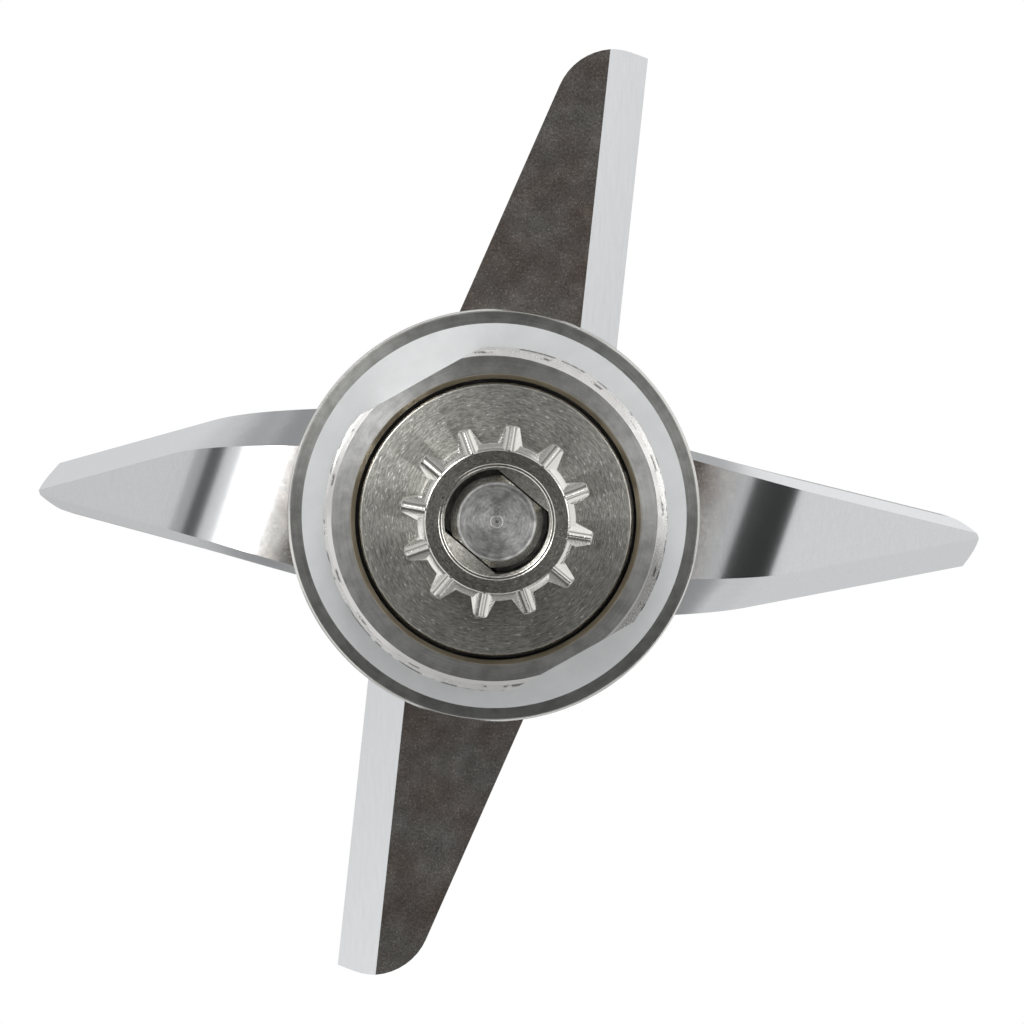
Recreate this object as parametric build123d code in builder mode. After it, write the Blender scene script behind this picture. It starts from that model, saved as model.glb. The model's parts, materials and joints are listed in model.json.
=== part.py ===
from build123d import *
from math import cos, degrees, radians, sin, tan
import os

# Blender blade assembly in millimetres. The shaft's axis is Z with the blade at the top,
# and z = 0 is the jar's floor, where the gasket under the flange sits.

# Jar joint: a flange, with a washer of soft plastic under it
flange_overhang = 3.3
flange_thickness = 3.0
flange_rim_chamfer = 0.15
flange_top_chamfer = 1.0
gasket_setback = 1.2
gasket_thickness = 1.5
gasket_hole_clearance = 0.1

# Barrel that goes down through the jar's floor, threaded M27 x 1.5 and flattened on two sides.
# Its thread is cut as rings, without the climb of a screw
barrel_wall = 2.0
barrel_flat_depth = 1.2
barrel_flats_angle = 60.8
barrel_length = 16.0
barrel_end_chamfer_width = 0.75
barrel_end_chamfer_height = 0.45
bore_mouth_chamfer = 0.38
thread_pitch = 1.5
thread_depth = 0.82
thread_root_width = 0.3
thread_crest_width = 0.2

# Boss above the flange, inside the jar
boss_foot_radius = 13.2
boss_top_radius = 11.8
boss_edge_fillet = 0.8

# Two 608 ball bearings, 8 x 22 x 7
bearing_bore_radius = 4.0
bearing_outer_radius = 11.0
bearing_width = 7.0
inner_ring_setback = 1.45
outer_ring_setback = 1.6
ball_radius = 1.984
ball_count = 7
raceway_clearance = 0.05
cage_inner_setback = 1.0
cage_outer_setback = 1.1
cage_height = 4.4
cage_pocket_clearance = 0.1
shield_inner_gap = 0.35
shield_seat_depth = 0.5
shield_thickness = 0.4
shield_depth = 0.6
seat_clearance = 0.01

# Spacers that keep the bearings apart
spacer_height = 2.0
inner_spacer_wall = 1.9
outer_spacer_wall = 1.5

# Retaining ring in the bore, with a curved spring washer above it
retaining_ring_thickness = 1.0
retaining_ring_reach = 1.81
retaining_ring_gap_angle = 40.0
retaining_ring_lug_radius = 1.5
retaining_ring_lug_hole_radius = 0.7
retaining_ring_lug_inset = 0.3
ring_groove_depth = 0.49
ring_groove_play = 0.05
preload_height = 0.8
preload_washer_thickness = 0.3
preload_washer_width = 1.4
preload_washer_gap = 0.21

# Rotary seal above the upper bearing
shoulder_thickness = 1.0
shoulder_ledge = 0.25
seal_outer_radius = 10.0
seal_width = 5.0
seal_pocket_play = 0.1
seal_case_thickness = 0.6
seal_web_inner_radius = 8.1
seal_lip_clearance = 0.05
seal_lip_height = 2.6
seal_lip_thickness = 0.7
seal_lip_face = 0.3

# Drive spline: a disc in the barrel's mouth and a star of twelve teeth
disc_gap = 0.29
disc_thickness = 3.0
disc_recess = 0.4
disc_edge_chamfer = 0.2
disc_to_ring_gap = 0.7
spline_hub_radius = 5.8
spline_length = 10.4
spline_ring_radius = 5.55
spline_root_radius = 6.05
spline_tip_radius = 7.45
spline_ring_height = 0.45
spline_lead_in = 0.5
tooth_count = 12
tooth_angle = 10.0
tooth_root_width = 1.9
tooth_tip_width = 0.95
tooth_foot_depth = 0.3
tooth_ridge_drop = 1.1
tooth_ridge_width = 0.36
tooth_roof_angle = 38.0
mouth_radius = 4.42
mouth_chamfer = 0.26
mouth_depth = 0.6
spline_flats_clearance = 0.12

# Shaft, with two flats at each end
shaft_half_flats = 3.0
shaft_lower_flats_angle = -50.0
shaft_recess = 1.5
shaft_nose_radius = 3.55
shaft_nose_length = 6.0
shaft_nose_chamfer = 0.5
shaft_top_chamfer = 0.6
shaft_flats_clearance = 0.03
centre_drill_radius = 0.45

# Collar under the blade, which runs in the seal and throws water off
collar_radius = 6.0
collar_flange_radius = 8.8
collar_flange_thickness = 1.5
collar_gap = 0.5
collar_edge_fillet = 0.4

# Blade: two flat wings and two wings bent up, with the leading edges ground from below
blade_thickness = 2.5
blade_angle = 6.1
wing_lead_offset = 8.9
flat_wing_taper = 17.75
flat_wing_radius = 40.2
flat_tip_width = 6.15
flat_tip_fillet = 5.0
swept_wing_taper = 16.05
swept_wing_turn = -6.67
swept_wing_length = 50.6
swept_tip_width = 4.15
swept_tip_fillet = 4.6
swept_corner_fillet = 0.5
steep_bend_angle = 57.5
shallow_bend_angle = 46.4
bend_skew = 20.2
bend_start = 13.6
bend_inner_radius = 13.4
bend_steps = 6
bevel_width = 3.25
bevel_land = 0.4
bevel_start = 9.5
relief_width = 0.7
relief_height = 1.3
relief_start = 13.0
wing_root_fillet = 2.0

# Washer and cap nut on the shaft's top end
washer_radius = 8.0
washer_thickness = 1.0
washer_hole_clearance = 0.2
nut_sides = 6
nut_across_flats = 13.0
nut_hex_height = 6.0
nut_height = 11.5
nut_bore_depth = 8.5
nut_chamfer_angle = 30.0
nut_dome_foot_radius = 6.2
nut_thread_engagement = 7.5

# Heights, from the barrel's end up to the cap nut
flange_bottom = gasket_thickness
flange_top = flange_bottom + flange_thickness
barrel_end = -barrel_length
disc_face = barrel_end + disc_recess
disc_back = disc_face + disc_thickness
spline_end = disc_face - spline_length
retaining_ring_bottom = disc_back + disc_to_ring_gap
preload_bottom = retaining_ring_bottom + retaining_ring_thickness
lower_bearing_bottom = preload_bottom + preload_height
spacer_bottom = lower_bearing_bottom + bearing_width
upper_bearing_bottom = spacer_bottom + spacer_height
shoulder_bottom = upper_bearing_bottom + bearing_width
seal_bottom = shoulder_bottom + shoulder_thickness
boss_top = seal_bottom + seal_width + seal_pocket_play
collar_flange_bottom = boss_top + collar_gap
blade_bottom = collar_flange_bottom + collar_flange_thickness
blade_top = blade_bottom + blade_thickness
washer_top = blade_top + washer_thickness
shaft_bottom = spline_end + shaft_recess
shaft_top = washer_top + nut_thread_engagement

# Sizes that follow from the ones above, from the bearings outward
ball_pitch_radius = (bearing_bore_radius + bearing_outer_radius) / 2
inner_ring_radius = ball_pitch_radius - inner_ring_setback
outer_ring_inner_radius = ball_pitch_radius + outer_ring_setback
cage_inner_radius = ball_pitch_radius - cage_inner_setback
cage_outer_radius = ball_pitch_radius + cage_outer_setback
shield_inner_radius = inner_ring_radius + shield_inner_gap
shield_outer_radius = outer_ring_inner_radius + shield_seat_depth
inner_spacer_radius = bearing_bore_radius + inner_spacer_wall
outer_spacer_inner_radius = bearing_outer_radius - outer_spacer_wall
bore_radius = bearing_outer_radius + seat_clearance
retaining_ring_inner_radius = bore_radius - retaining_ring_reach
preload_washer_outer_radius = bore_radius - preload_washer_gap
preload_washer_inner_radius = preload_washer_outer_radius - preload_washer_width
shoulder_inner_radius = seal_outer_radius - shoulder_ledge
disc_radius = bore_radius - disc_gap
ring_groove_radius = bore_radius + ring_groove_depth
barrel_radius = ring_groove_radius + barrel_wall
barrel_half_flats = barrel_radius - barrel_flat_depth
flange_radius = barrel_radius + flange_overhang
gasket_radius = flange_radius - gasket_setback
thread_turns = int(barrel_length / thread_pitch)
shaft_radius = bearing_bore_radius - seat_clearance
seal_pocket_radius = seal_outer_radius + seat_clearance
raceway_radius = ball_radius + raceway_clearance
ring_groove_height = retaining_ring_thickness + ring_groove_play
bearing_bottoms = {"lower": lower_bearing_bottom, "upper": upper_bearing_bottom}


def turned_plane(height, angle=0.0):
    """Level plane at a height, with its X axis turned by an angle."""
    direction = (cos(radians(angle)), sin(radians(angle)), 0)
    return Plane(origin=(0, 0, height), x_dir=direction, z_dir=(0, 0, 1))


def ring_section(inner, outer, bottom, top, mode=Mode.ADD):
    """Rectangle in a radial sketch, from one radius and height to another."""
    with Locations(((inner + outer) / 2, (bottom + top) / 2)):
        Rectangle(outer - inner, top - bottom, mode=mode)


def double_d(radius, half_flats, mode=Mode.ADD):
    """Round section with two flats, whose normals lie along the sketch's X axis."""
    with BuildSketch(mode=Mode.PRIVATE) as section:
        Circle(radius)
        Rectangle(2 * half_flats, 2 * radius, mode=Mode.INTERSECT)
    add(section.sketch, mode=mode)


def milled_sides(radius, half_flats):
    """The two segments that a cutter takes off a round bar to leave two flats."""
    Circle(radius)
    Rectangle(2 * half_flats, 2 * radius, mode=Mode.SUBTRACT)


def thread_groove(height):
    """Radial section of one groove between two crests of the barrel's thread."""
    root_radius = barrel_radius - thread_depth
    mouth_width = thread_pitch - thread_crest_width
    Polygon(
        (root_radius, height - thread_root_width / 2),
        (barrel_radius, height - mouth_width / 2),
        (barrel_radius, height + mouth_width / 2),
        (root_radius, height + thread_root_width / 2),
    )


def finish(piece, name):
    """Labels a finished piece and writes its STEP file."""
    piece.label = name
    export_step(piece, f"parts/{name}.step")


os.makedirs("parts", exist_ok=True)

# Bearing housing: flange, boss and barrel turned in one, thread cut, flats milled, bore turned
with BuildPart() as bearing_housing:
    with BuildSketch(Plane.XZ):
        Polygon(
            (0, barrel_end),
            (barrel_radius - barrel_end_chamfer_width, barrel_end),
            (barrel_radius, barrel_end + barrel_end_chamfer_height),
            (barrel_radius, flange_bottom),
            (flange_radius - flange_rim_chamfer, flange_bottom),
            (flange_radius, flange_bottom + flange_rim_chamfer),
            (flange_radius, flange_top - flange_top_chamfer),
            (flange_radius - flange_top_chamfer, flange_top),
            (boss_foot_radius, flange_top),
            (boss_top_radius, boss_top),
            (0, boss_top),
        )
    revolve(axis=Axis.Z)
    fillet(bearing_housing.edges().group_by(Axis.Z)[-1], boss_edge_fillet)
    with BuildSketch(Plane.XZ):
        for turn in range(thread_turns):
            thread_groove(barrel_end + (turn + 1) * thread_pitch)
    revolve(axis=Axis.Z, mode=Mode.SUBTRACT)
    with BuildSketch(turned_plane(barrel_end, barrel_flats_angle)):
        milled_sides(barrel_radius, barrel_half_flats)
    extrude(amount=flange_bottom - barrel_end, mode=Mode.SUBTRACT)
    with BuildSketch(Plane.XZ):
        Polygon(
            (0, barrel_end),
            (bore_radius + bore_mouth_chamfer, barrel_end),
            (bore_radius, barrel_end + bore_mouth_chamfer),
            (bore_radius, shoulder_bottom),
            (shoulder_inner_radius, shoulder_bottom),
            (shoulder_inner_radius, seal_bottom),
            (seal_pocket_radius, seal_bottom),
            (seal_pocket_radius, boss_top),
            (0, boss_top),
        )
        groove_top = retaining_ring_bottom + ring_groove_height
        ring_section(0, ring_groove_radius, retaining_ring_bottom, groove_top)
    revolve(axis=Axis.Z, mode=Mode.SUBTRACT)
finish(bearing_housing.part, "bearing_housing")

# Gasket, keyed on the barrel's flats
with BuildPart() as flange_gasket:
    with BuildSketch(turned_plane(0, barrel_flats_angle)):
        Circle(gasket_radius)
        double_d(
            barrel_radius + gasket_hole_clearance,
            barrel_half_flats + gasket_hole_clearance,
            mode=Mode.SUBTRACT,
        )
    extrude(amount=gasket_thickness)
finish(flange_gasket.part, "flange_gasket")

# Ball bearings: rings, shields, balls and cage, once for each place
for place, bottom in bearing_bottoms.items():
    top = bottom + bearing_width
    middle = bottom + bearing_width / 2

    with BuildPart() as outer_ring:
        with BuildSketch(Plane.XZ):
            ring_section(outer_ring_inner_radius, bearing_outer_radius, bottom, top)
            recess_radius = shield_outer_radius + seat_clearance
            ring_section(0, recess_radius, bottom, bottom + shield_depth, Mode.SUBTRACT)
            ring_section(0, recess_radius, top - shield_depth, top, Mode.SUBTRACT)
            with Locations((ball_pitch_radius, middle)):
                Circle(raceway_radius, mode=Mode.SUBTRACT)
        revolve(axis=Axis.Z)
    finish(outer_ring.part, f"{place}_bearing_outer_ring")

    with BuildPart() as inner_ring:
        with BuildSketch(Plane.XZ):
            ring_section(bearing_bore_radius, inner_ring_radius, bottom, top)
            with Locations((ball_pitch_radius, middle)):
                Circle(raceway_radius, mode=Mode.SUBTRACT)
        revolve(axis=Axis.Z)
    finish(inner_ring.part, f"{place}_bearing_inner_ring")

    shield_bottoms = {
        "bottom": bottom + shield_depth - shield_thickness,
        "top": top - shield_depth,
    }
    for side, shield_bottom in shield_bottoms.items():
        with BuildPart() as shield:
            with BuildSketch(Plane.XY.offset(shield_bottom)):
                Circle(shield_outer_radius)
                Circle(shield_inner_radius, mode=Mode.SUBTRACT)
            extrude(amount=shield_thickness)
        finish(shield.part, f"{place}_bearing_{side}_shield")

    with BuildPart(Plane.XY.offset(middle)) as balls:
        with PolarLocations(ball_pitch_radius, ball_count):
            Sphere(ball_radius)
    finish(balls.part, f"{place}_bearing_balls")

    with BuildPart(Plane.XY.offset(middle)) as cage:
        Cylinder(cage_outer_radius, cage_height)
        Cylinder(cage_inner_radius, cage_height, mode=Mode.SUBTRACT)
        with PolarLocations(ball_pitch_radius, ball_count):
            Cylinder(
                ball_radius + cage_pocket_clearance,
                cage_outer_radius,
                rotation=(0, 90, 0),
                mode=Mode.SUBTRACT,
            )
    finish(cage.part, f"{place}_bearing_cage")

# Spacers between the bearings' rings
spacer_radii = {
    "bearing_inner_spacer": (bearing_bore_radius, inner_spacer_radius),
    "bearing_outer_spacer": (outer_spacer_inner_radius, bearing_outer_radius),
}
for name, (inner, outer) in spacer_radii.items():
    with BuildPart() as spacer:
        with BuildSketch(Plane.XY.offset(spacer_bottom)):
            Circle(outer)
            Circle(inner, mode=Mode.SUBTRACT)
        extrude(amount=spacer_height)
    finish(spacer.part, name)

# Retaining ring: an open spring ring with two lugs for the pliers
with BuildPart() as retaining_ring:
    lug_reach = retaining_ring_inner_radius + retaining_ring_lug_inset - retaining_ring_lug_radius
    lug_turn = retaining_ring_gap_angle / 2 + degrees(retaining_ring_lug_radius / lug_reach)
    gap_reach = 2 * ring_groove_radius
    gap_half_width = gap_reach * tan(radians(retaining_ring_gap_angle / 2))
    with BuildSketch(Plane.XY.offset(retaining_ring_bottom)):
        Circle(ring_groove_radius - ring_groove_play)
        Circle(retaining_ring_inner_radius, mode=Mode.SUBTRACT)
        Polygon(
            (0, 0),
            (gap_reach, -gap_half_width),
            (gap_reach, gap_half_width),
            mode=Mode.SUBTRACT,
        )
        with PolarLocations(lug_reach, 2, -lug_turn, 2 * lug_turn, endpoint=True):
            Circle(retaining_ring_lug_radius)
            Circle(retaining_ring_lug_hole_radius, mode=Mode.SUBTRACT)
    extrude(amount=retaining_ring_thickness)
finish(retaining_ring.part, "retaining_ring")

# Preload washer: a flat ring curved about one axis, so that it springs
with BuildPart() as preload_washer:
    crown = lower_bearing_bottom - seat_clearance
    rim = preload_bottom + preload_washer_thickness + seat_clearance
    reach = preload_washer_outer_radius
    with BuildSketch(Plane.XZ):
        with BuildLine():
            upper_side = ThreePointArc((-reach, rim), (0, crown), (reach, rim))
            lower_side = ThreePointArc(
                (-reach, rim - preload_washer_thickness),
                (0, crown - preload_washer_thickness),
                (reach, rim - preload_washer_thickness),
            )
            Line(upper_side @ 0, lower_side @ 0)
            Line(upper_side @ 1, lower_side @ 1)
        make_face()
    extrude(amount=reach, both=True)
    with BuildSketch(Plane.XY.offset(preload_bottom)):
        Circle(preload_washer_outer_radius)
        Circle(preload_washer_inner_radius, mode=Mode.SUBTRACT)
    extrude(amount=preload_height, mode=Mode.INTERSECT)
finish(preload_washer.part, "preload_washer")

# Rotary seal: a pressed steel case with a rubber lip moulded on its web
with BuildPart() as shaft_seal_case:
    with BuildSketch(Plane.XZ):
        ring_section(
            seal_outer_radius - seal_case_thickness,
            seal_outer_radius,
            seal_bottom,
            seal_bottom + seal_width,
        )
        web_top = seal_bottom + seal_case_thickness
        ring_section(seal_web_inner_radius, seal_outer_radius, seal_bottom, web_top)
    revolve(axis=Axis.Z)
finish(shaft_seal_case.part, "shaft_seal_case")

with BuildPart() as shaft_seal_lip:
    lip_radius = collar_radius + seal_lip_clearance
    lip_top = seal_bottom + seal_case_thickness + seal_lip_height
    with BuildSketch(Plane.XZ):
        Polygon(
            (seal_web_inner_radius, seal_bottom),
            (seal_web_inner_radius, seal_bottom + seal_case_thickness),
            (lip_radius + seal_lip_thickness, lip_top),
            (lip_radius + seal_lip_face, lip_top),
            (lip_radius, lip_top - seal_lip_face),
            (lip_radius, lip_top - 2 * seal_lip_face),
            (seal_web_inner_radius - seal_lip_thickness, seal_bottom),
        )
    revolve(axis=Axis.Z)
finish(shaft_seal_lip.part, "shaft_seal_lip")

# Drive shaft: a turned bar with a thinner nose, and flats for the spline below and the blade above
with BuildPart() as drive_shaft:
    with BuildSketch(Plane.XZ):
        Polygon(
            (0, shaft_bottom),
            (shaft_nose_radius - shaft_nose_chamfer, shaft_bottom),
            (shaft_nose_radius, shaft_bottom + shaft_nose_chamfer),
            (shaft_nose_radius, shaft_bottom + shaft_nose_length),
            (shaft_radius, shaft_bottom + shaft_nose_length),
            (shaft_radius, shaft_top - shaft_top_chamfer),
            (shaft_radius - shaft_top_chamfer, shaft_top),
            (0, shaft_top),
        )
        Polygon(
            (0, shaft_bottom),
            (centre_drill_radius, shaft_bottom),
            (0, shaft_bottom + centre_drill_radius),
            mode=Mode.SUBTRACT,
        )
    revolve(axis=Axis.Z)
    with BuildSketch(turned_plane(shaft_bottom, shaft_lower_flats_angle)):
        milled_sides(shaft_radius, shaft_half_flats)
    extrude(amount=lower_bearing_bottom - shaft_bottom, mode=Mode.SUBTRACT)
    with BuildSketch(turned_plane(blade_bottom, blade_angle)):
        milled_sides(shaft_radius, shaft_half_flats)
    extrude(amount=shaft_top - blade_bottom, mode=Mode.SUBTRACT)
finish(drive_shaft.part, "drive_shaft")

# One spline tooth along X: a tapered bar whose free end is cut to a sloping ridge
tooth_flare = (tooth_root_width - tooth_tip_width) / (spline_tip_radius - spline_root_radius)
tooth_foot_radius = spline_ring_radius - tooth_foot_depth
tooth_foot_width = tooth_root_width + (spline_root_radius - tooth_foot_radius) * tooth_flare
ridge_run = spline_tip_radius - spline_ring_radius
ridge_length = 2 * (ridge_run**2 + tooth_ridge_drop**2) ** 0.5
roof_rise = tooth_root_width * tan(radians(tooth_roof_angle))
with BuildPart() as spline_tooth:
    with BuildSketch(Plane.XY.offset(spline_end)):
        Polygon(
            (tooth_foot_radius, -tooth_foot_width / 2),
            (spline_tip_radius, -tooth_tip_width / 2),
            (spline_tip_radius, tooth_tip_width / 2),
            (tooth_foot_radius, tooth_foot_width / 2),
        )
    extrude(amount=spline_length)
    ridge_plane = Plane(
        origin=(spline_ring_radius, 0, spline_end),
        x_dir=(0, 1, 0),
        z_dir=(ridge_run, 0, tooth_ridge_drop),
    )
    with BuildSketch(ridge_plane):
        Polygon(
            (-tooth_ridge_width / 2, 0),
            (tooth_ridge_width / 2, 0),
            (tooth_root_width, roof_rise),
            (tooth_root_width, -spline_length),
            (-tooth_root_width, -spline_length),
            (-tooth_root_width, roof_rise),
        )
    extrude(amount=ridge_length, mode=Mode.SUBTRACT)

# Drive spline: disc, star of teeth and hub in one piece, on the shaft's lower flats, with a
# chamfered mouth whose floor shows at both flats
with BuildPart() as drive_spline:
    with BuildSketch(Plane.XZ):
        Polygon(
            (0, spline_end),
            (spline_ring_radius, spline_end),
            (spline_ring_radius, spline_end + spline_ring_height),
            (spline_root_radius, spline_end + spline_ring_height + spline_lead_in),
            (spline_root_radius, disc_face),
            (disc_radius - disc_edge_chamfer, disc_face),
            (disc_radius, disc_face + disc_edge_chamfer),
            (disc_radius, disc_back),
            (spline_hub_radius, disc_back),
            (spline_hub_radius, lower_bearing_bottom),
            (0, lower_bearing_bottom),
        )
    revolve(axis=Axis.Z)
    with PolarLocations(0, tooth_count, start_angle=tooth_angle):
        add(spline_tooth.part)
    with BuildSketch(Plane.XZ):
        Polygon(
            (0, spline_end),
            (mouth_radius, spline_end),
            (mouth_radius - mouth_chamfer, spline_end + mouth_chamfer),
            (mouth_radius - mouth_chamfer, spline_end + mouth_depth),
            (0, spline_end + mouth_depth),
        )
    revolve(axis=Axis.Z, mode=Mode.SUBTRACT)
    with BuildSketch(turned_plane(spline_end, shaft_lower_flats_angle)):
        double_d(shaft_radius + shaft_flats_clearance, shaft_half_flats + spline_flats_clearance)
    extrude(amount=lower_bearing_bottom - spline_end, mode=Mode.SUBTRACT)
finish(drive_spline.part, "drive_spline")

# Blade collar: a sleeve on the upper bearing's inner ring with a flange under the blade
with BuildPart() as blade_collar:
    with BuildSketch(Plane.XZ):
        ring_section(bearing_bore_radius, collar_radius, shoulder_bottom, blade_bottom)
        ring_section(
            bearing_bore_radius, collar_flange_radius, collar_flange_bottom, blade_bottom
        )
    revolve(axis=Axis.Z)
    rim = blade_collar.edges().filter_by(GeomType.CIRCLE).group_by(SortBy.RADIUS)[-1]
    fillet(rim, collar_edge_fillet)
finish(blade_collar.part, "blade_collar")

# Blade. In the frame of one wing, X runs outward along its leading edge, Y points in the
# cutting direction and the underside lies at Z = 0
flat_turns = (90, 270)
swept_bends = ((swept_wing_turn, shallow_bend_angle), (swept_wing_turn + 180, steep_bend_angle))
flat_taper_slope = tan(radians(flat_wing_taper))
swept_taper_slope = tan(radians(swept_wing_taper))
skew_cos = cos(radians(bend_skew))
skew_sin = sin(radians(bend_skew))
flat_tip_reach = (flat_wing_radius**2 - wing_lead_offset**2) ** 0.5
flat_trail = wing_lead_offset - flat_tip_width - flat_tip_reach * flat_taper_slope
swept_trail = wing_lead_offset - swept_tip_width - swept_wing_length * swept_taper_slope
bevel_rise = blade_thickness - bevel_land
bend_outer_radius = bend_inner_radius + blade_thickness
bend_neutral_radius = bend_inner_radius + blade_thickness / 2
cut_length = 2 * swept_wing_length


def flat_trailing_point(x):
    """Point on a flat wing's trailing edge."""
    return (x, flat_trail + x * flat_taper_slope)


def swept_trailing_point(x):
    """Point on a swept wing's trailing edge, before the wing is bent."""
    return (x, swept_trail + x * swept_taper_slope)


def leading_x(along):
    """Where a line across the bend, at a distance along its direction, meets the leading edge."""
    return (along - wing_lead_offset * skew_sin) / skew_cos


def trailing_x(along):
    """Where a line across the bend, at a distance along its direction, meets the trailing edge."""
    return (along - swept_trail * skew_sin) / (skew_cos + swept_taper_slope * skew_sin)


def leading_side(along):
    """Sideways place of the leading edge in the bend's frame."""
    return wing_lead_offset * skew_cos - leading_x(along) * skew_sin


def trailing_side(along):
    """Sideways place of the trailing edge in the bend's frame."""
    x, y = swept_trailing_point(trailing_x(along))
    return y * skew_cos - x * skew_sin


def edge_plane(frame, start, angle):
    """Plane across an edge of a wing, facing outward along it, with its Y axis up."""
    outward = frame.x_dir * cos(radians(angle)) + frame.y_dir * sin(radians(angle))
    origin = frame.from_local_coords((*start, 0))
    return Plane(origin=origin, x_dir=frame.z_dir.cross(outward), z_dir=outward)


def bevel_section():
    """What grinding takes off under a leading edge, which passes through the sketch's origin."""
    Polygon(
        (-bevel_width, 0),
        (-bevel_width, -blade_thickness),
        (bevel_width, -blade_thickness),
        (bevel_width, 2 * bevel_rise),
    )


def relief_section():
    """What is taken off under a trailing edge, which passes through the sketch's origin."""
    Polygon(
        (relief_width, 0),
        (relief_width, -blade_thickness),
        (-relief_width, -blade_thickness),
        (-relief_width, 2 * relief_height),
    )


def swept_wing(turn, bend_angle):
    """Swept wing from the start of its bend to its tip."""
    frame = turned_plane(blade_bottom, blade_angle + turn + bend_skew)
    straight_start = bend_start + bend_neutral_radius * radians(bend_angle)
    sections = []
    for step in range(bend_steps + 1):
        angle = radians(bend_angle * step / bend_steps)
        out = bend_start + bend_outer_radius * sin(angle)
        up = bend_outer_radius * (1 - cos(angle))
        outward = frame.x_dir * cos(angle) + frame.z_dir * sin(angle)
        origin = frame.from_local_coords((out, 0, up))
        sections.append(Plane(origin=origin, x_dir=frame.y_dir, z_dir=outward))
    end = sections[-1]
    plate = Plane(origin=end.origin, x_dir=end.z_dir, z_dir=end.y_dir)
    cut_start = straight_start - bevel_width
    with BuildPart() as wing:
        with BuildSketch(plate):
            add(swept_outline.sketch.moved(Location((-straight_start, 0, 0), (0, 0, -bend_skew))))
            with Locations((swept_wing_length / 2, 0)):
                Rectangle(swept_wing_length, swept_wing_length, mode=Mode.INTERSECT)
        extrude(amount=blade_thickness)
        with BuildSketch(edge_plane(plate, (-bevel_width, leading_side(cut_start)), -bend_skew)):
            bevel_section()
        extrude(amount=cut_length, mode=Mode.SUBTRACT)
        trailing_start = (-bevel_width, trailing_side(cut_start))
        with BuildSketch(edge_plane(plate, trailing_start, swept_wing_taper - bend_skew)):
            relief_section()
        extrude(amount=cut_length, mode=Mode.SUBTRACT)
        for step, section in enumerate(sections):
            along = bend_start + (straight_start - bend_start) * step / bend_steps
            lead = leading_side(along)
            trail = trailing_side(along)
            with BuildSketch(section):
                Polygon(
                    (trail, relief_height),
                    (trail + relief_width / cos(radians(bend_skew - swept_wing_taper)), 0),
                    (lead - bevel_width / skew_cos, 0),
                    (lead, bevel_rise),
                    (lead, blade_thickness),
                    (trail, blade_thickness),
                )
        loft()
    return wing.part


# Outline of a flat wing, cut to the radius that the blade sweeps
with BuildSketch() as flat_outline:
    Polygon(
        (0, wing_lead_offset),
        flat_trailing_point(0),
        flat_trailing_point(cut_length),
        (cut_length, wing_lead_offset),
    )
    Circle(flat_wing_radius, mode=Mode.INTERSECT)
    fillet(flat_outline.vertices().sort_by(Axis.X)[-1], flat_tip_fillet)

# Outline of a swept wing before it is bent, and the part of it inside the bend
with BuildSketch() as swept_outline:
    Polygon(
        (0, wing_lead_offset),
        swept_trailing_point(0),
        swept_trailing_point(swept_wing_length),
        (swept_wing_length, wing_lead_offset),
    )
    tip_corners = swept_outline.vertices().group_by(Axis.X)[-1].sort_by(Axis.Y)
    fillet(tip_corners[0], swept_tip_fillet)
    fillet(tip_corners[1], swept_corner_fillet)

with BuildSketch() as swept_root:
    Polygon(
        (0, wing_lead_offset),
        swept_trailing_point(0),
        swept_trailing_point(trailing_x(bend_start)),
        (leading_x(bend_start), wing_lead_offset),
    )

with BuildPart() as cutter_blade:
    with BuildSketch(turned_plane(blade_bottom, blade_angle)) as planform:
        for turn in flat_turns:
            add(flat_outline.sketch.rotate(Axis.Z, turn))
        for turn, bend_angle in swept_bends:
            add(swept_root.sketch.rotate(Axis.Z, turn))
        inner_corners = planform.vertices().sort_by_distance((0, 0, 0))[:4]
        fillet(inner_corners, wing_root_fillet)
        double_d(
            shaft_radius + shaft_flats_clearance,
            shaft_half_flats + shaft_flats_clearance,
            mode=Mode.SUBTRACT,
        )
    extrude(amount=blade_thickness)
    for turn in (*flat_turns, *(turn for turn, bend_angle in swept_bends)):
        frame = turned_plane(blade_bottom, blade_angle + turn)
        with BuildSketch(edge_plane(frame, (bevel_start, wing_lead_offset), 0)):
            bevel_section()
        extrude(amount=cut_length, mode=Mode.SUBTRACT)
    for turn, bend_angle in swept_bends:
        frame = turned_plane(blade_bottom, blade_angle + turn)
        with BuildSketch(edge_plane(frame, swept_trailing_point(relief_start), swept_wing_taper)):
            relief_section()
        extrude(amount=cut_length, mode=Mode.SUBTRACT)
    for turn, bend_angle in swept_bends:
        add(swept_wing(turn, bend_angle))
finish(cutter_blade.part, "cutter_blade")

# Washer under the cap nut
with BuildPart() as blade_washer:
    with BuildSketch(Plane.XY.offset(blade_top)):
        Circle(washer_radius)
        Circle(shaft_radius + washer_hole_clearance, mode=Mode.SUBTRACT)
    extrude(amount=washer_thickness)
finish(blade_washer.part, "blade_washer")

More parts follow.
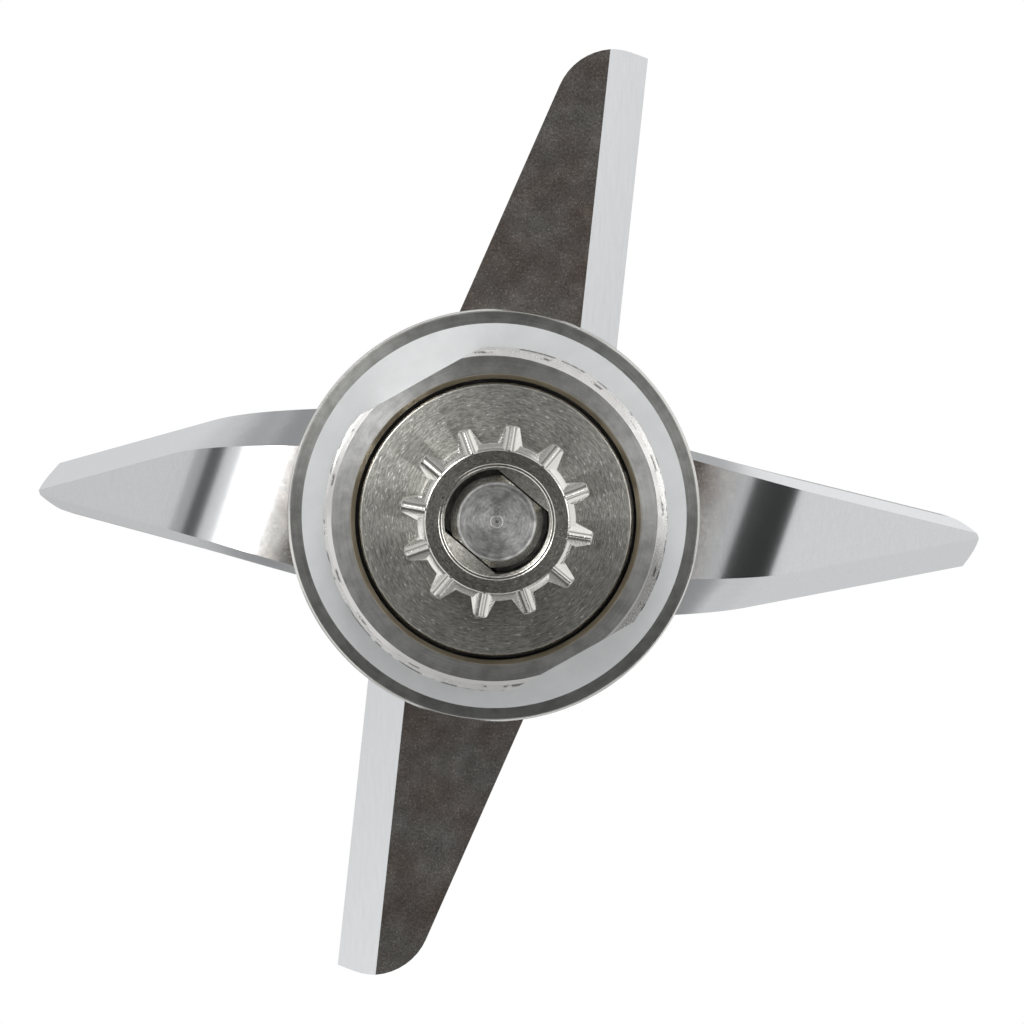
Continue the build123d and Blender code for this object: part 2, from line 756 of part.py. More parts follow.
# Cap nut: a hexagon turned off at its corners, with a dome over the shaft's end
with BuildPart() as cap_nut:
    nut_flat_radius = nut_across_flats / 2
    nut_corner_radius = nut_flat_radius / cos(radians(180 / nut_sides))
    nut_chamfer = (nut_corner_radius - nut_flat_radius) * tan(radians(nut_chamfer_angle))
    hex_top = washer_top + nut_hex_height
    nut_top = washer_top + nut_height
    dome_radius = (nut_dome_foot_radius**2 + (nut_top - hex_top) ** 2) / (2 * (nut_top - hex_top))
    with BuildSketch(turned_plane(washer_top, blade_angle)):
        RegularPolygon(nut_flat_radius, nut_sides, major_radius=False)
    extrude(amount=nut_hex_height)
    with BuildSketch(Plane.XZ):
        Polygon(
            (0, washer_top),
            (nut_flat_radius, washer_top),
            (nut_corner_radius, washer_top + nut_chamfer),
            (nut_corner_radius, hex_top - nut_chamfer),
            (nut_flat_radius, hex_top),
            (0, hex_top),
        )
    revolve(axis=Axis.Z, mode=Mode.INTERSECT)
    with BuildSketch(Plane.XZ):
        with Locations((0, nut_top - dome_radius)):
            Circle(dome_radius)
        ring_section(0, dome_radius, hex_top, nut_top, Mode.INTERSECT)
    revolve(axis=Axis.Z)
    with BuildSketch(Plane.XY.offset(washer_top)):
        Circle(bearing_bore_radius)
    extrude(amount=nut_bore_depth, mode=Mode.SUBTRACT)
finish(cap_nut.part, "cap_nut")
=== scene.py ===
# %% [markdown]
# # A blender blade assembly, seen from its drive end
# The object is a spindle with a four-winged cutter. It runs on two ball bearings in a
# flanged housing that is clamped through the floor of a blender jar. The solid parts come
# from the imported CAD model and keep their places. This script gives the housing a thread that
# climbs and the spline finer teeth. It adds the finishes of all the metals, plastics and
# rubbers, the light and the camera.

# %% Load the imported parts
import json
from math import cos, radians, sin

import bmesh
import bpy
from mathutils import Matrix, Vector, noise


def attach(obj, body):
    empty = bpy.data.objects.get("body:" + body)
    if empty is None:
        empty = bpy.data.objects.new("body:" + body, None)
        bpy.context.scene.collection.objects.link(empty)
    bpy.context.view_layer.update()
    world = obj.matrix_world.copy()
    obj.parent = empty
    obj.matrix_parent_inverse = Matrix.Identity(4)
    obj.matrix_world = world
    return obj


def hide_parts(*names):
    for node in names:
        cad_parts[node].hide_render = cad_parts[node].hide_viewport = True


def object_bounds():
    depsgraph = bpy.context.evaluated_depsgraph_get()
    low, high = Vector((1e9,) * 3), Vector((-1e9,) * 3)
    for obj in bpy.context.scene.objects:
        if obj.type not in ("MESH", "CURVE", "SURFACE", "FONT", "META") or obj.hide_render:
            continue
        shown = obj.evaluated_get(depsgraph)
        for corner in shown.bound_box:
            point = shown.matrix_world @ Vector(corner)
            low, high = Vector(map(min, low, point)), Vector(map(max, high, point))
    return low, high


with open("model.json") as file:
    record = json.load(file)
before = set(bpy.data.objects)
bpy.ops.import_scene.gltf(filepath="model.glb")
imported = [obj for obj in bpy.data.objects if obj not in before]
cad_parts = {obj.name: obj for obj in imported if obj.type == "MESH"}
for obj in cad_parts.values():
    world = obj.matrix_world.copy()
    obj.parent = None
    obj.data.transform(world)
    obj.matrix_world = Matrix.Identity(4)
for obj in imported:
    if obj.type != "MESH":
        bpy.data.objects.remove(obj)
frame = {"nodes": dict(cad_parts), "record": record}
cad_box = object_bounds()
MM = 0.001
print("parts loaded:", len(frame["nodes"]), "box in metres:", cad_box)

# %% [markdown]
# ## Camera
# The photograph looks straight at the drive end from about 45 cm away, so the blades are
# behind the housing. The camera therefore stands below the object and looks up its axis.
# The picture's right is +X and its lower edge is +Y. A long lens keeps the perspective mild,
# and two tiny turns take up the tilt of the real object. The axis isn't quite in the middle
# of the picture, which a small shift of the lens gives without turning the camera.

# %% Place the camera
AIM_HEIGHT = 1.5 * MM
CAMERA_DISTANCE = 447.5 * MM
TILT_ABOUT_X = radians(1.05)
TILT_ABOUT_Y = radians(-0.454)
LENS = 193.5
SENSOR_WIDTH = 36
CLIP_START = 0.01
AXIS_SHIFT = (0.01755, 0.00330)

tilt = Matrix.Rotation(TILT_ABOUT_Y, 3, "Y") @ Matrix.Rotation(TILT_ABOUT_X, 3, "X")
right, down, ahead = tilt
camera_data = bpy.data.cameras.new("drive_end_camera")
camera_data.sensor_width = SENSOR_WIDTH
camera_data.lens = LENS
camera_data.shift_x, camera_data.shift_y = AXIS_SHIFT
camera_data.clip_start = CLIP_START
camera = bpy.data.objects.new("drive_end_camera", camera_data)
bpy.context.scene.collection.objects.link(camera)
looking = Matrix((right, -down, -ahead)).transposed().to_4x4()
looking.translation = Vector((0, 0, AIM_HEIGHT)) - ahead * CAMERA_DISTANCE
camera.matrix_world = looking
bpy.context.scene.camera = camera
bpy.context.scene.view_settings.view_transform = "Standard"
print("camera stands at", [round(value, 4) for value in camera.location])

# %% [markdown]
# ## Helpers for shader nodes
# A finish on a real part is a few simple things laid over each other: rings from the lathe,
# spots from tumbling, scratches from a grinding belt. Each becomes a few nodes. These helpers
# add a node, set its values or plug other nodes into it, and hand back one output, so that
# the recipe of a finish reads from top to bottom.


# %% Add nodes
def plug(tree, value, socket):
    """Links an output to a socket, or sets the socket's own value."""
    if isinstance(value, bpy.types.NodeSocket):
        tree.links.new(value, socket)
    else:
        socket.default_value = value


def node(tree, kind, sockets=None, output=0, **settings):
    """Adds a shader node with its settings and inputs, and returns one of its outputs."""
    made = tree.nodes.new("ShaderNode" + kind)
    for name, value in settings.items():
        setattr(made, name, value)
    for name, value in (sockets or {}).items():
        plug(tree, value, made.inputs[name])
    return made.outputs[output]


def ramp(tree, value, stops):
    """Colour ramp from (position, colour) stops."""
    made = tree.nodes.new("ShaderNodeValToRGB")
    elements = made.color_ramp.elements
    while len(elements) < len(stops):
        elements.new(1.0)
    for element, (position, colour) in zip(elements, stops):
        element.position = position
        element.color = (*colour, 1.0)
    tree.links.new(value, made.inputs[0])
    return made.outputs[0]


def spread(tree, value, low, high, to_low, to_high):
    """Maps a range of a value to another range, held at its ends."""
    sockets = {"Value": value, "From Min": low, "From Max": high}
    return node(tree, "MapRange", {**sockets, "To Min": to_low, "To Max": to_high})


def times(tree, first, second):
    """Product of two values."""
    return node(tree, "Math", {0: first, 1: second}, operation="MULTIPLY")


def tinted(tree, share, colour, tint, way="MIX"):
    """A colour with a share of another one laid over it."""
    return node(tree, "MixRGB", {"Fac": share, "Color1": colour, "Color2": tint}, blend_type=way)


def start_finish(name, **sockets):
    """New material, with constant values on the shader's own sockets."""
    material = bpy.data.materials.new(name)
    material.use_nodes = True
    shader = material.node_tree.nodes["Principled BSDF"]
    for socket, value in sockets.items():
        shader.inputs[socket.replace("_", " ")].default_value = value
    return material, material.node_tree, shader


# %% [markdown]
# ## World, floor and studio cards
# The background is white for the camera and for reflections, while the soft light on dull
# surfaces is weaker, so that pale parts don't wash out. Metal looks like what surrounds it.
# In the photograph the faces that look at the camera are dark and the tilted ones are bright,
# so a black card hangs behind the camera, and dark, grey, pale and bright ones stand round the
# object where its bent wings, bevels and tooth ends look, as photographers place them. Only
# reflections see the cards. The floor is seen only from above, because the camera of the
# photograph is below it, and it fades into the white world, so that it shows no far edge.

# %% White world with softer light for dull surfaces
SOFT_LIGHT = 0.57

world = bpy.data.worlds.new("studio")
bpy.context.scene.world = world
world.use_nodes = True
world.cycles.sampling_method = "NONE"
tree = world.node_tree
rays = tree.nodes.new("ShaderNodeLightPath").outputs
seen = rays["Is Camera Ray"]
for kind in ("Is Glossy Ray", "Is Transmission Ray"):
    seen = node(tree, "Math", {0: seen, 1: rays[kind]}, operation="MAXIMUM")
background = tree.nodes["Background"]
background.inputs["Color"].default_value = (1, 1, 1, 1)
plug(tree, spread(tree, seen, 0, 1, SOFT_LIGHT, 1), background.inputs["Strength"])
print("soft light on dull surfaces:", SOFT_LIGHT)


# %% Cards that only reflections see
CENTRE = (0, 0, 0)
UP = (0, 0, 1)
CARD_DISTANCE = 1.2
CARD_ROWS = 6
CARD_COLUMNS = 12


def draw_line(bm, points):
    """Edges through points that lie in the plane of X and Z."""
    verts = [bm.verts.new((across, 0, up)) for across, up in points]
    edges = [bm.edges.new(pair) for pair in zip(verts, verts[1:])]
    return verts + edges


def turn_about_axis(bm, angle):
    """Turns a whole shape about the shaft's axis."""
    bmesh.ops.rotate(bm, cent=CENTRE, matrix=Matrix.Rotation(angle, 3, "Z"), verts=bm.verts)


def card(name, shade, build):
    """Stage piece of one even brightness that shows in reflections only."""
    bm = bmesh.new()
    build(bm)
    mesh = bpy.data.meshes.new(name)
    bm.to_mesh(mesh)
    bm.free()
    made = bpy.data.objects.new(name, mesh)
    bpy.context.scene.collection.objects.link(made)
    made.visible_camera = made.visible_diffuse = made.visible_shadow = False
    material = bpy.data.materials.new(name)
    material.use_nodes = True
    tree = material.node_tree
    tree.nodes.remove(tree.nodes["Principled BSDF"])
    glow = node(tree, "Emission", {"Color": (shade, shade, shade, 1), "Strength": 1.0})
    plug(tree, glow, tree.nodes["Material Output"].inputs["Surface"])
    material.cycles.emission_sampling = "NONE"
    mesh.materials.append(material)
    return made


def flat_card(width, depth, height):
    """Level rectangle centred on the axis."""
    def build(bm):
        bmesh.ops.create_grid(bm, x_segments=1, y_segments=1, size=0.5)
        bmesh.ops.scale(bm, vec=(width, depth, 1), verts=bm.verts)
        bmesh.ops.translate(bm, vec=(0, 0, height), verts=bm.verts)
    return build


def curved_card(lowest, highest, first, last):
    """Part of a ball round the object, in degrees from straight below and in degrees of turn."""
    def build(bm):
        rows = [lowest + (highest - lowest) * row / CARD_ROWS for row in range(CARD_ROWS + 1)]
        angles = [radians(row) for row in rows]
        points = [(CARD_DISTANCE * sin(angle), -CARD_DISTANCE * cos(angle)) for angle in angles]
        line = draw_line(bm, points)
        turn_about_axis(bm, radians(first))
        width = radians(last - first)
        bmesh.ops.spin(bm, geom=line, cent=CENTRE, axis=UP, angle=width, steps=CARD_COLUMNS)
    return build


cards = [
    card("black_card_behind_camera", 0.10, flat_card(0.38, 1.7, -0.62)),
    card("low_grey_card_right", 0.42, curved_card(12, 30, 4, 60)),
    card("grey_card_right", 0.55, curved_card(30, 50, 4, 60)),
    card("dark_card_right", 0.02, curved_card(50, 84, 12, 52)),
    card("pale_card_right", 0.84, curved_card(84, 150, -20, 42)),
    card("bevel_card_right", 0.76, curved_card(112, 145, 42, 66)),
    card("rim_card_right", 0.76, curved_card(67, 80, -55, 11)),
    card("bend_card_right", 0.68, curved_card(60, 112, 52, 62)),
    card("low_grey_card_left", 0.70, curved_card(28, 38, 190, 228)),
    card("bright_card_left", 1.5, curved_card(38, 62, 190, 228)),
    card("low_pale_card_left", 0.74, curved_card(62, 74, 180, 243)),
    card("dark_card_left", 0.08, curved_card(74, 86, 180, 243)),
    card("grey_card_left", 0.46, curved_card(86, 97, 180, 243)),
    card("pale_card_left", 0.73, curved_card(97, 128, 170, 235)),
    card("bevel_card_left", 0.81, curved_card(128, 165, 200, 256)),
    card("pale_card_lower", 0.77, curved_card(50, 72, 68, 112)),
    card("grey_card_lower", 0.30, curved_card(72, 96, 62, 128)),
    card("dark_card_lower", 0.20, curved_card(97, 128, 68, 168)),
    card("strip_card_left", 0.66, curved_card(130, 160, 110, 156)),
    card("low_dark_card_lower_left", 0.15, curved_card(20, 42, 112, 162)),
    card("pale_card_upper", 0.77, curved_card(50, 72, 248, 292)),
    card("grey_card_upper", 0.30, curved_card(72, 96, 244, 304)),
    card("high_grey_card_upper", 0.42, curved_card(97, 128, 236, 300)),
    card("grey_card_overhead", 0.45, flat_card(0.8, 1.2, 1.1)),
]
print("cards hung:", len(cards))

# %% Floor that is seen from above only
FLOOR_GAP = 0.1 * MM
FLOOR_HALF = 2.0
FLOOR_FADE = (0.15, 0.60)
PALE_GREY = (0.93, 0.93, 0.93, 1)

floor_height = cad_box[0][2] - FLOOR_GAP
floor_bm = bmesh.new()
bmesh.ops.create_grid(floor_bm, x_segments=1, y_segments=1, size=FLOOR_HALF)
bmesh.ops.translate(floor_bm, vec=(0, 0, floor_height), verts=floor_bm.verts)
floor_mesh = bpy.data.meshes.new("floor")
floor_bm.to_mesh(floor_mesh)
floor_bm.free()
floor = bpy.data.objects.new("floor", floor_mesh)
bpy.context.scene.collection.objects.link(floor)
floor_material = bpy.data.materials.new("pale_floor")
floor_material.use_nodes = True
tree = floor_material.node_tree
tree.nodes.remove(tree.nodes["Principled BSDF"])
pale = node(tree, "BsdfDiffuse", {"Color": PALE_GREY})
clear = node(tree, "BsdfTransparent")
camera_ray = node(tree, "LightPath", output="Is Camera Ray")
behind = node(tree, "NewGeometry", output="Backfacing")
shown = node(tree, "Math", {0: camera_ray, 1: behind}, operation="SUBTRACT", use_clamp=True)
place = node(tree, "TexCoord", output="Object")
far = node(tree, "VectorMath", {0: place}, output="Value", operation="LENGTH")
shown = times(tree, shown, spread(tree, far, *FLOOR_FADE, 1, 0))
mixed = node(tree, "MixShader", {0: shown, 1: clear, 2: pale})
plug(tree, mixed, tree.nodes["Material Output"].inputs["Surface"])
floor_mesh.materials.append(floor_material)
print("floor at", round(floor_height, 5))


# %% Lamps
def soft_lamp(name, place, watts, size):
    """Square area lamp that points at the object."""
    data = bpy.data.lights.new(name, "AREA")
    data.energy = watts
    data.size = size
    lamp = bpy.data.objects.new(name, data)
    bpy.context.scene.collection.objects.link(lamp)
    lamp.location = place
    lamp.rotation_euler = (-Vector(place)).to_track_quat("-Z", "Y").to_euler()
    return lamp


soft_lamp("lamp_from_the_top_of_the_picture", (0.00, -0.66, -0.52), 2.6, 0.45).visible_glossy = False
soft_lamp("lamp_over_the_blades", (-0.45, -0.25, 0.80), 5.0, 0.60).visible_glossy = False
soft_lamp("sheen_lamp_upper_left", (-0.50, -0.40, -0.60), 4.2, 0.45).visible_diffuse = False
soft_lamp("sheen_lamp_right", (0.58, -0.16, -0.60), 1.2, 0.40).visible_diffuse = False
print("lamps:", len(bpy.data.lights))

# %% [markdown]
# ## Threaded housing
# The housing's barrel carries a fine thread, 27 mm across with a pitch of 1.5 mm, and two flats
# that keep it from turning in the jar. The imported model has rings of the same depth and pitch,
# which don't climb. Here one tooth of the thread is drawn with a few points, repeated along the
# axis and spun once round while it climbs by one pitch. A turn ends where the next one starts,
# so merging doubles closes the seam. Crests of a used thread are dented, so noise pushes some
# of their points inwards. Then the ends and the flats are cut with planes, and the turned
# flange, the chamfered end and the bore join by Booleans, which keep every edge true. The
# chamfer of the real one is a little off the axis. The round tools are turned by less than a
# degree, so that their facets don't lie in those of the rod.

# %% Sizes of the housing, in millimetres
BARREL_END = -16.0
FLANGE_BOTTOM = 1.5
BOSS_TOP = 12.0
FLANGE_LINE = [(16.58, FLANGE_BOTTOM), (16.66, 1.56), (16.8, 1.94), (16.8, 3.5), (15.8, 4.5)]
BOSS_LINE = [(13.2, 4.5), (11.9, 11.2), (11.77, 11.65), (11.45, 11.92), (11.0, BOSS_TOP)]
BARREL_RADIUS = 13.5
THREAD_PITCH = 1.5
THREAD_DEPTH = 0.82
CREST_WEAR = 0.25
CREST_DENTS = 0.9
LEAST_DENT = 0.1
HALF_FLATS = 12.3
FLATS_ANGLE = radians(60.8)
END_CHAMFER = [(12.75, 0.0), (13.13, 0.27), (13.13, 0.75), (14.25, 1.40)]
CHAMFER_SHIFT = (-0.10, -0.10, 0)
BORE_RADIUS = 11.01
BORE_CHAMFER = 0.38
GROOVE_RADIUS, GROOVE_BOTTOM, GROOVE_TOP = 11.5, -11.9, -10.85
SHOULDER_RADIUS, SHOULDER_BOTTOM, SHOULDER_TOP = 9.75, 5.9, 6.9
SEAL_RADIUS = 10.01
print("thread:", 2 * BARREL_RADIUS, "mm across, flats:", 2 * HALF_FLATS, "mm apart")


# %% Spin closed solids
ROUND_STEPS = 160


def everything(bm):
    """All points, edges and faces of a shape."""
    return bm.verts[:] + bm.edges[:] + bm.faces[:]


def to_object(bm, name):
    """Ends a bmesh as an object whose faces point outwards."""
    bmesh.ops.recalc_face_normals(bm, faces=bm.faces)
    bmesh.ops.scale(bm, vec=(MM, MM, MM), verts=bm.verts)
    mesh = bpy.data.meshes.new(name)
    bm.to_mesh(mesh)
    bm.free()
    made = bpy.data.objects.new(name, mesh)
    bpy.context.scene.collection.objects.link(made)
    return made


def spun_solid(name, points, turn=0.0):
    """Solid of revolution from (radius, height) points that start and end on the axis."""
    bm = bmesh.new()
    line = draw_line(bm, points)
    bmesh.ops.spin(
        bm, geom=line, cent=CENTRE, axis=UP, angle=radians(360), steps=ROUND_STEPS, use_merge=True
    )
    bmesh.ops.remove_doubles(bm, verts=bm.verts, dist=1e-5)
    turn_about_axis(bm, turn)
    return to_object(bm, name)


# %% Thread the barrel
EXTRA_TURNS = 4
OVERSHOOT = 1
NEAR = 0.01


def cut_flat(bm, point, outward):
    """Cuts away what lies outside a plane and closes the cut."""
    cut = bmesh.ops.bisect_plane(
        bm, geom=everything(bm), dist=1e-6, plane_co=point, plane_no=outward, clear_outer=True
    )["geom_cut"]
    edges = [part for part in cut if isinstance(part, bmesh.types.BMEdge)]
    bmesh.ops.contextual_create(bm, geom=edges)


turns = int((FLANGE_BOTTOM - BARREL_END) / THREAD_PITCH) + EXTRA_TURNS
root = BARREL_RADIUS - THREAD_DEPTH
thread_line = [(root, 0), (root, 0.30), (BARREL_RADIUS, 0.80), (BARREL_RADIUS, 1.0)]
thread_line += [(root, THREAD_PITCH)]
rod_bm = bmesh.new()
tooth = draw_line(rod_bm, thread_line)
bmesh.ops.spin(
    rod_bm, geom=tooth, cent=CENTRE, axis=UP, dvec=(0, 0, THREAD_PITCH), angle=0, steps=turns,
    use_duplicate=True,
)
bmesh.ops.remove_doubles(rod_bm, verts=rod_bm.verts, dist=1e-5)
bmesh.ops.translate(rod_bm, vec=(0, 0, BARREL_END - 2 * THREAD_PITCH), verts=rod_bm.verts)
bmesh.ops.spin(
    rod_bm,
    geom=rod_bm.verts[:] + rod_bm.edges[:],
    cent=CENTRE,
    axis=UP,
    dvec=(0, 0, THREAD_PITCH / ROUND_STEPS),
    angle=radians(360),
    steps=ROUND_STEPS,
)
bmesh.ops.remove_doubles(rod_bm, verts=rod_bm.verts, dist=1e-4)
for vert in rod_bm.verts:
    if vert.co.xy.length > BARREL_RADIUS - NEAR:
        dent = max(noise.noise(vert.co * CREST_DENTS) - LEAST_DENT, 0) * CREST_WEAR
        vert.co.xy *= 1 - dent / BARREL_RADIUS
cut_flat(rod_bm, (0, 0, BARREL_END - OVERSHOOT), (0, 0, -1))
cut_flat(rod_bm, (0, 0, FLANGE_BOTTOM + OVERSHOOT), UP)
for side in (1, -1):
    outward = Matrix.Rotation(FLATS_ANGLE, 3, "Z") @ Vector((side, 0, 0))
    cut_flat(rod_bm, outward * HALF_FLATS, outward)
open_edges = sum(edge.is_boundary for edge in rod_bm.edges)
threaded_rod = to_object(rod_bm, "threaded_rod")
print("threaded rod:", len(threaded_rod.data.polygons), "faces, open edges:", open_edges)

# %% Flange, chamfered end and bore
ENVELOPE_TURN = radians(0.7)
ENVELOPE_TOP = FLANGE_BOTTOM + 2
BORE_TURN = radians(0.4)

threaded_housing = spun_solid(
    "threaded_housing", [(0, FLANGE_BOTTOM)] + FLANGE_LINE + BOSS_LINE + [(0, BOSS_TOP)]
)
envelope = spun_solid(
    "chamfered_envelope",
    [(0, BARREL_END)]
    + [(radius, BARREL_END + height) for radius, height in END_CHAMFER]
    + [(END_CHAMFER[-1][0], ENVELOPE_TOP), (0, ENVELOPE_TOP)],
    ENVELOPE_TURN,
)
bore_start = BARREL_END - OVERSHOOT
bore_stop = BOSS_TOP + OVERSHOOT
bore = spun_solid(
    "bore",
    [(0, bore_start), (BORE_RADIUS + BORE_CHAMFER + OVERSHOOT, bore_start)]
    + [(BORE_RADIUS, BARREL_END + BORE_CHAMFER), (BORE_RADIUS, GROOVE_BOTTOM)]
    + [(GROOVE_RADIUS, GROOVE_BOTTOM), (GROOVE_RADIUS, GROOVE_TOP), (BORE_RADIUS, GROOVE_TOP)]
    + [(BORE_RADIUS, SHOULDER_BOTTOM), (SHOULDER_RADIUS, SHOULDER_BOTTOM)]
    + [(SHOULDER_RADIUS, SHOULDER_TOP), (SEAL_RADIUS, SHOULDER_TOP)]
    + [(SEAL_RADIUS, bore_stop), (0, bore_stop)],
    BORE_TURN,
)


def combine(target, tool, operation):
    """Applies one Boolean to an object and removes the tool."""
    modifier = target.modifiers.new(operation, "BOOLEAN")
    modifier.operation = operation
    modifier.solver = "EXACT"
    modifier.object = tool
    bpy.context.view_layer.update()
    depsgraph = bpy.context.evaluated_depsgraph_get()
    result = bpy.data.meshes.new_from_object(target.evaluated_get(depsgraph))
    target.modifiers.clear()
    target.data = result
    bpy.data.objects.remove(tool)


envelope.data.transform(Matrix.Translation([shift * MM for shift in CHAMFER_SHIFT]))
combine(threaded_rod, envelope, "INTERSECT")
combine(threaded_housing, threaded_rod, "UNION")
combine(threaded_housing, bore, "DIFFERENCE")
threaded_housing.data.name = "threaded_housing"


# %% Clean a joined piece and let it stand for the plain one
SMOOTH_ANGLE = radians(25)


def dress_over(piece, body, part):
    """Merges doubles, smooths the round faces and puts a piece in place of a plain part."""
    bm = bmesh.new()
    bm.from_mesh(piece.data)
    bmesh.ops.remove_doubles(bm, verts=bm.verts, dist=1e-7)
    bmesh.ops.dissolve_degenerate(bm, dist=1e-7, edges=bm.edges)
    bmesh.ops.recalc_face_normals(bm, faces=bm.faces)
    loose = sum(not edge.is_manifold for edge in bm.edges)
    bm.to_mesh(piece.data)
    bm.free()
    piece.data.shade_smooth()
    piece.data.set_sharp_from_angle(angle=SMOOTH_ANGLE)
    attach(piece, body)
    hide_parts(part)
    print(piece.name, "has", len(piece.data.polygons), "faces and", loose, "open edges")


dress_over(threaded_housing, "housing", "bearing_housing")

# %% [markdown]
# ## Drive spline
# The motor drives the shaft through a star of twelve teeth on a round disc. The teeth end in
# small hollow-ground roofs, so that they find their way into the coupling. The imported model
# has these teeth with straight roofs. Here one tooth is drawn closer to the real one: a
# tapered bar is extruded from four points, a roof with hollow sides is taken off its
# end, and the edges at its tip are rounded. Rounding warps the long faces by a hair, so two
# cuts part them from the tip, and the points go on a fine grid. That way each run joins the
# teeth in the same way. Twelve copies join the turned disc, and the chamfered mouth and the
# hole with two flats are cut through.

# %% One tooth with a hollow roof
SPLINE_END = -26.0
DISC_FACE = -15.6
DISC_BACK = -12.6
HUB_TOP = -10.1
RING_RADIUS = 5.55
TIP_RADIUS = 7.45
RIDGE_DROP = 1.1
HOLLOW_ROOF = [(0.0, 0.0), (0.045, 0.003), (0.085, 0.012), (0.12, 0.03), (0.15, 0.058), (0.185, 0.10)]
HOLLOW_ROOF += [(0.25, 0.19), (0.37, 0.33), (0.55, 0.48), (0.80, 0.62), (1.20, 0.74), (1.60, 0.79)]
ROOF_LENGTH = 6
ROOF_RUN_IN = 1.5
ROOF_HEIGHT = 4
FOOT_RADIUS, FOOT_HALF_WIDTH = 5.13, 1.23
TIP_HALF_WIDTH = 0.475
TOOTH_SETBACK = 0.01
TOOTH_SINK = 0.5


def prism(name, outline, direction):
    """Closed bar from a flat outline and the direction that it is extruded in."""
    bm = bmesh.new()
    face = bm.faces.new([bm.verts.new(point) for point in outline])
    moved = bmesh.ops.extrude_face_region(bm, geom=[face], use_keep_orig=True)["geom"]
    ends = [part for part in moved if isinstance(part, bmesh.types.BMVert)]
    bmesh.ops.translate(bm, vec=direction, verts=ends)
    return to_object(bm, name)


ridge = Vector((TIP_RADIUS - RING_RADIUS, 0, RIDGE_DROP)).normalized()
across = Vector((0, 1, 0))
outward = across.cross(ridge)
roof_half_width = HOLLOW_ROOF[-1][0]
roof_outline = HOLLOW_ROOF + [(roof_half_width, -ROOF_HEIGHT), (-roof_half_width, -ROOF_HEIGHT)]
roof_outline += [(-side, rise) for side, rise in reversed(HOLLOW_ROOF[1:])]
ridge_start = Vector((RING_RADIUS, 0, SPLINE_END)) - ridge * ROOF_RUN_IN
inward = outward if outward.z > 0 else -outward
roof_points = [ridge_start + across * side + inward * rise for side, rise in roof_outline]
roof_cutter = prism("roof_cutter", roof_points, ridge * ROOF_LENGTH)
tooth_outline = [(FOOT_RADIUS, -FOOT_HALF_WIDTH), (TIP_RADIUS, -TIP_HALF_WIDTH)]
tooth_outline += [(TIP_RADIUS, TIP_HALF_WIDTH), (FOOT_RADIUS, FOOT_HALF_WIDTH)]
tooth_bar = prism(
    "spline_tooth",
    [(x, y, SPLINE_END + TOOTH_SETBACK) for x, y in tooth_outline],
    (0, 0, DISC_FACE - SPLINE_END + TOOTH_SINK),
)
combine(tooth_bar, roof_cutter, "DIFFERENCE")
print("tooth with its roof:", len(tooth_bar.data.polygons), "faces")

# %% Round the tip
SHARP_ANGLE = radians(30)
TIP_ROUNDING = 0.14
TIP_CUT = TIP_RADIUS - 0.4
LONG_CUT = SPLINE_END + 3
GRID_DIGITS = 7

tooth_bm = bmesh.new()
tooth_bm.from_mesh(tooth_bar.data)
tip_edges = [
    edge for edge in tooth_bm.edges
    if all(vert.co.x > (TIP_RADIUS - NEAR) * MM for vert in edge.verts)
    and edge.calc_face_angle(0) > SHARP_ANGLE
]
bmesh.ops.bevel(
    tooth_bm, geom=tip_edges, offset=TIP_ROUNDING * MM, segments=3, profile=0.5, affect="EDGES",
    material=-1, clamp_overlap=True,
)
for place, facing in ((TIP_CUT * MM, (1, 0, 0)), (LONG_CUT * MM, UP)):
    bmesh.ops.bisect_plane(
        tooth_bm, geom=everything(tooth_bm), dist=1e-7,
        plane_co=Vector(facing) * place, plane_no=facing,
    )
for vert in tooth_bm.verts:
    vert.co = [round(value, GRID_DIGITS) for value in vert.co]
print("tooth:", len(tooth_bm.faces), "faces, rounded edges:", len(tip_edges))

# %% Twelve teeth on the turned disc
TOOTH_COUNT = 12
FIRST_TOOTH = radians(10)
RING_LINE = [(RING_RADIUS - 0.10, 0), (RING_RADIUS, 0.055), (RING_RADIUS, 0.40)]
RING_LINE += [(5.66, 0.58), (5.83, 0.77), (6.05, 0.95)]
DISC_LINE = [(6.05, -0.25), (6.12, -0.07), (6.30, 0), (10.49, 0), (10.56, 0.03), (10.72, 0.19)]
DISC_RADIUS = DISC_LINE[-1][0]
HUB_RADIUS = 5.8

turn_about_axis(tooth_bm, FIRST_TOOTH)
bmesh.ops.spin(
    tooth_bm, geom=everything(tooth_bm), cent=CENTRE, axis=UP,
    angle=radians(360 - 360 / TOOTH_COUNT), steps=TOOTH_COUNT - 1, use_duplicate=True,
)
tooth_bm.to_mesh(tooth_bar.data)
tooth_bm.free()
spline = spun_solid(
    "drive_spline_star",
    [(0, SPLINE_END)]
    + [(radius, SPLINE_END + rise) for radius, rise in RING_LINE]
    + [(radius, DISC_FACE + rise) for radius, rise in DISC_LINE]
    + [(DISC_RADIUS, DISC_BACK), (HUB_RADIUS, DISC_BACK), (HUB_RADIUS, HUB_TOP), (0, HUB_TOP)],
)
combine(spline, tooth_bar, "UNION")
print("teeth:", TOOTH_COUNT, "on a disc of", 2 * DISC_RADIUS, "mm")

# %% Chamfered mouth and hole with two flats
MOUTH_STEPS = [(4.47, 0.0), (4.40, 0.04), (4.26, 0.04), (4.19, 0.08)]
MOUTH_STEPS += [(4.14, 0.16), (4.14, 0.60), (2.90, 0.95)]
MOUTH_TURN = radians(0.5)
HOLE_RADIUS = 4.02
HOLE_LENGTH = 20
HOLE_MIDDLE = HUB_TOP - 9
HOLE_HALF_FLATS = 3.12
HOLE_TURN = radians(-50)

